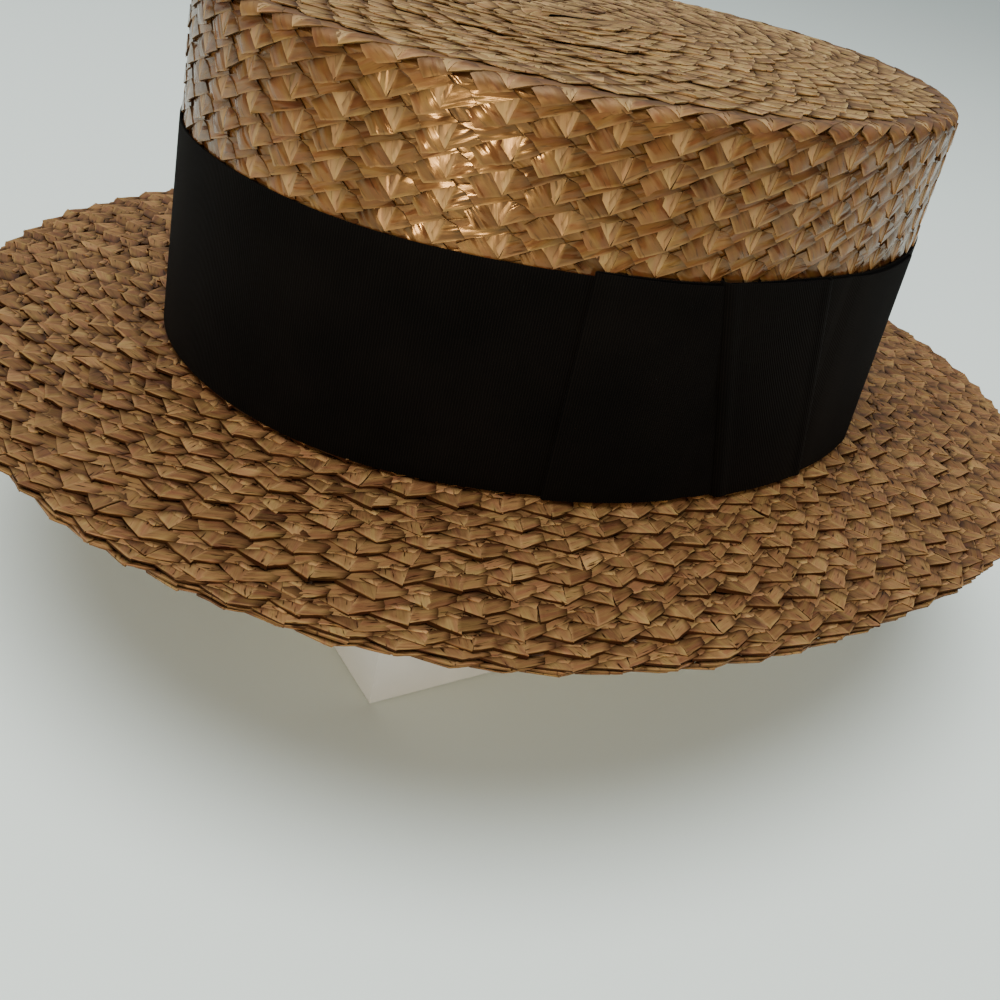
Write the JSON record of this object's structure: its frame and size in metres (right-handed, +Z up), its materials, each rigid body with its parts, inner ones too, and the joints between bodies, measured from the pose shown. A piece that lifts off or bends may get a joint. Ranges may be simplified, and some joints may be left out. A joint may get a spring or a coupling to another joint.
{
  "type": "straw boater hat on a display block",
  "caption": "Stiff straw boater with flat oval brim, flat-topped crown, black ribbon band and flat side bow, resting on a plain white display block.",
  "frame": {"origin": "centre of the block's underside, below the middle of the crown, on the surface it stands on", "axes": "+Z up; -Y is the front of the hat, +Y its back; +X is the wearer's left, where the bow is"},
  "size_m": [0.2616, 0.3004, 0.145],
  "materials": {
    "straw": "varnished flat straw braid, satin with small bright glints",
    "ribbon": "black grosgrain ribbon, matt, fine upright ribs",
    "white_block": "smooth white, low sheen"
  },
  "bodies": {
    "root": {"display_block": "white_block", "brim": "straw", "crown": "straw", "ribbon_band": "ribbon", "bow_front_loop": "ribbon", "bow_back_loop": "ribbon", "bow_knot": "ribbon"}
  },
  "joints": []
}
